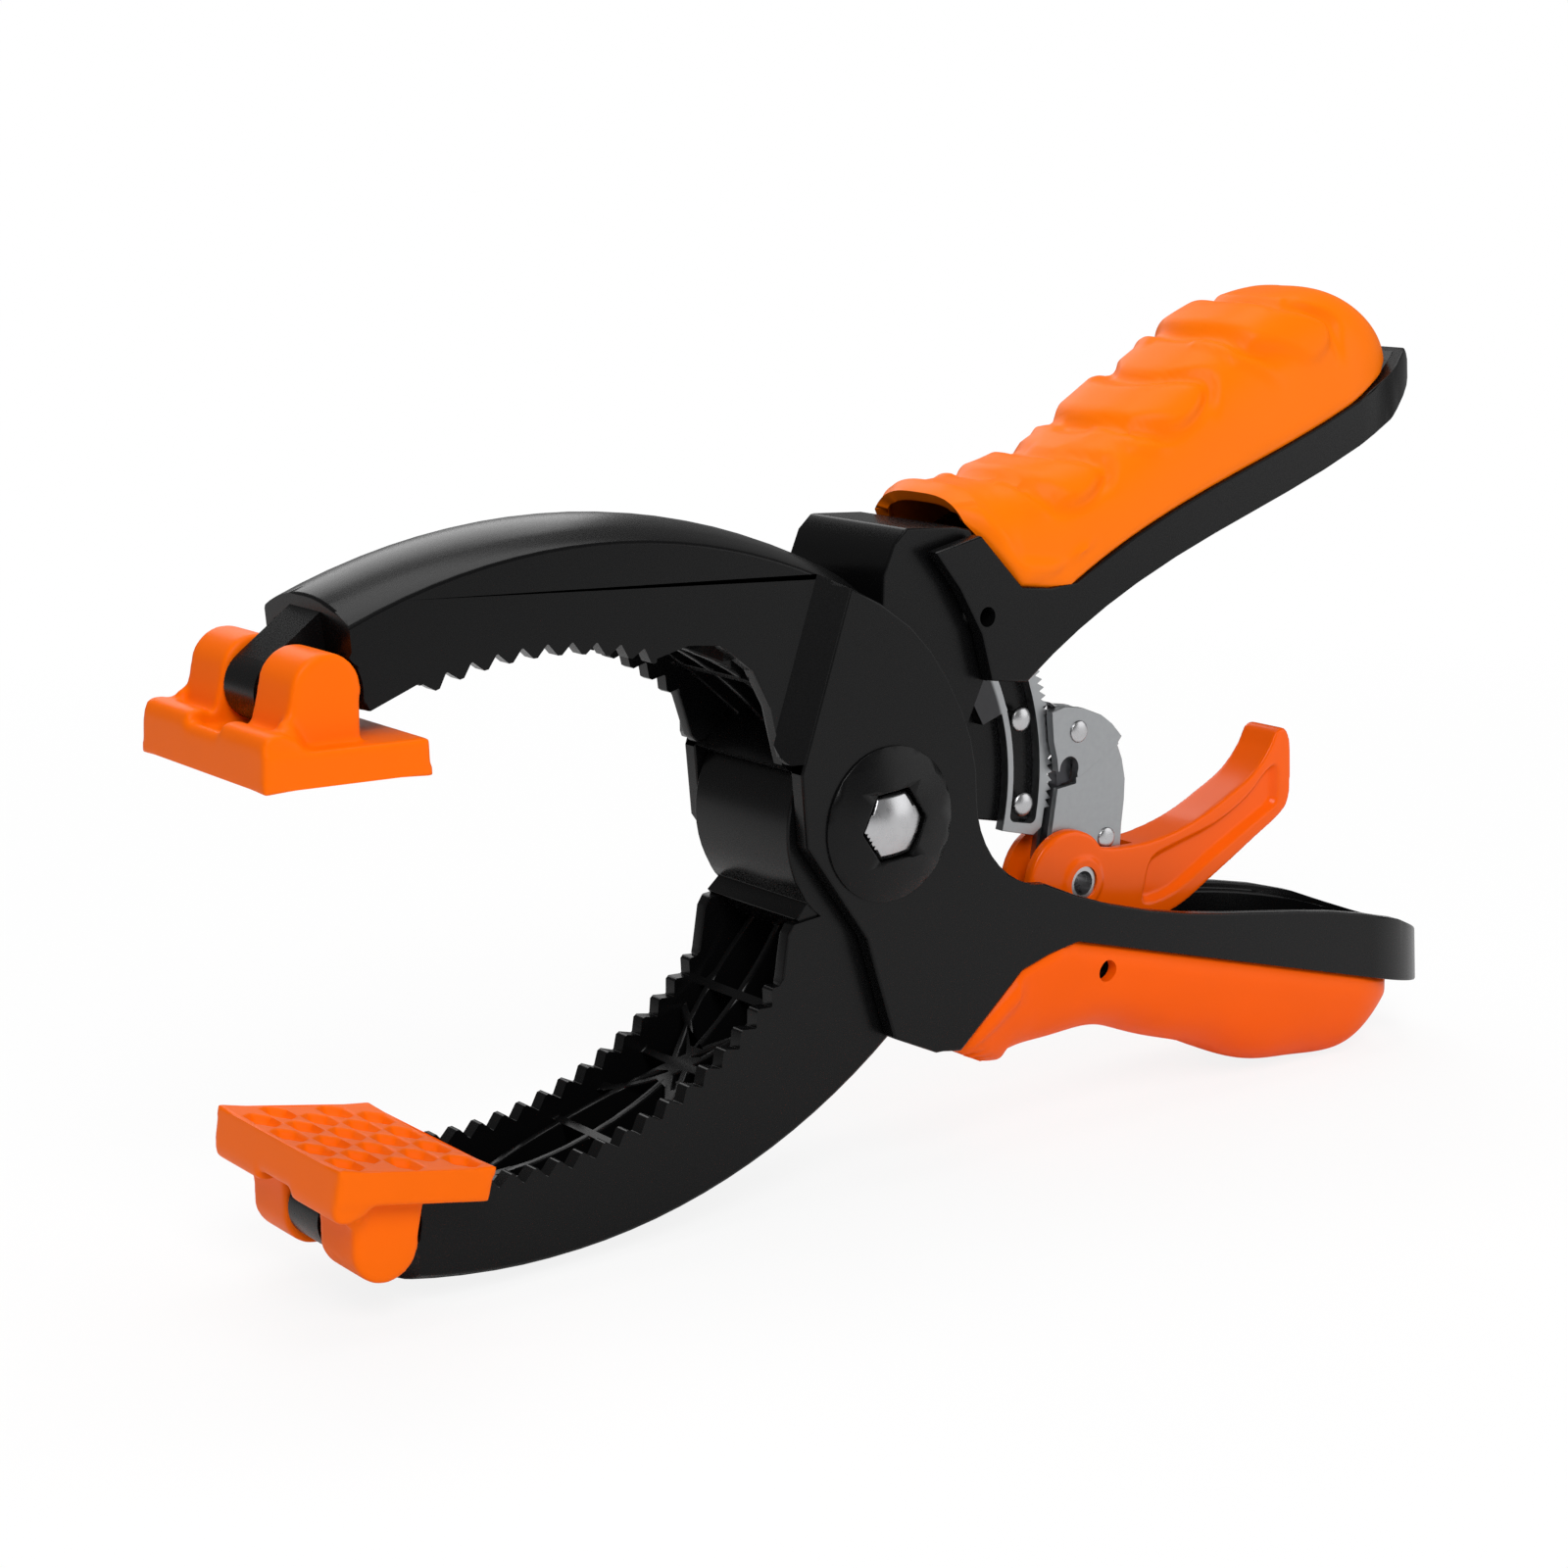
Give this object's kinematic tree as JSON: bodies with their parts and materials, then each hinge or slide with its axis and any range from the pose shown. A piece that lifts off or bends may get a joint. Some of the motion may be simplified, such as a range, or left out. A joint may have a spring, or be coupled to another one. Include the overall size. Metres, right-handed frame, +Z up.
{
  "type": "ratcheting spring clamp",
  "caption": "Hand clamp with toothed curved jaws, swivel pads, soft-grip handles, a coil spring that opens it and a trigger-released ratchet.",
  "frame": {"origin": "on the table under the middle of the clamp's length and width", "axes": "+X from the jaws towards the handles, +Y along the pivot bolt away from its head, +Z up from the table"},
  "size_m": [0.2459, 0.0364, 0.1395],
  "materials": {
    "black_plastic": "satin, glass-filled nylon",
    "orange_pad": "satin soft plastic",
    "orange_grip": "satin soft plastic",
    "orange_plastic": "satin",
    "steel": "stamped, dull",
    "bright_steel": "polished",
    "spring_steel": "blackened"
  },
  "bodies": {
    "outer_lever": {"outer_lever": "black_plastic", "lower_grip": "orange_grip", "upper_pad_pin": "steel", "pivot_bolt": "bright_steel", "pivot_nut": "bright_steel", "pivot_sleeve": "steel", "trigger_pin": "bright_steel"},
    "inner_lever": {"inner_lever": "black_plastic", "upper_grip": "orange_grip", "lower_pad_pin": "steel", "ratchet_arc": "steel", "ratchet_rivets": "bright_steel", "main_spring": "spring_steel"},
    "upper_pad": {"upper_pad": "orange_pad"},
    "lower_pad": {"lower_pad": "orange_pad"},
    "trigger": {"trigger": "orange_plastic", "pawl_front_plate": "steel", "pawl_rear_plate": "steel", "pawl": "bright_steel", "pawl_rivets": "bright_steel", "pawl_leaf_spring": "spring_steel", "trigger_spring": "spring_steel"}
  },
  "joints": [
    {"name": "main_pivot", "type": "hinge", "parent": "outer_lever", "child": "inner_lever", "pos_m": [-0.0131, 0, 0.06043], "axis": [0, 1, 0], "range_deg": [0, 27.5], "stiffness_Nm_per_rad": 1.5, "springref_deg": -60.16, "deforming": ["main_spring"]},
    {"name": "upper_pad_swivel", "type": "hinge", "parent": "outer_lever", "child": "upper_pad", "pos_m": [-0.11031, 0, 0.09077], "axis": [0, 1, 0], "range_deg": [-22, 18]},
    {"name": "lower_pad_swivel", "type": "hinge", "parent": "inner_lever", "child": "lower_pad", "pos_m": [-0.10357, 0, 0.01367], "axis": [0, 1, 0], "range_deg": [-40, 0]},
    {"name": "trigger_pivot", "type": "hinge", "parent": "outer_lever", "child": "trigger", "pos_m": [0.03903, 0, 0.0406], "axis": [0, 1, 0], "range_deg": [0, 12], "stiffness_Nm_per_rad": 0.12, "springref_deg": -20.05, "deforming": ["trigger_spring"]}
  ]
}
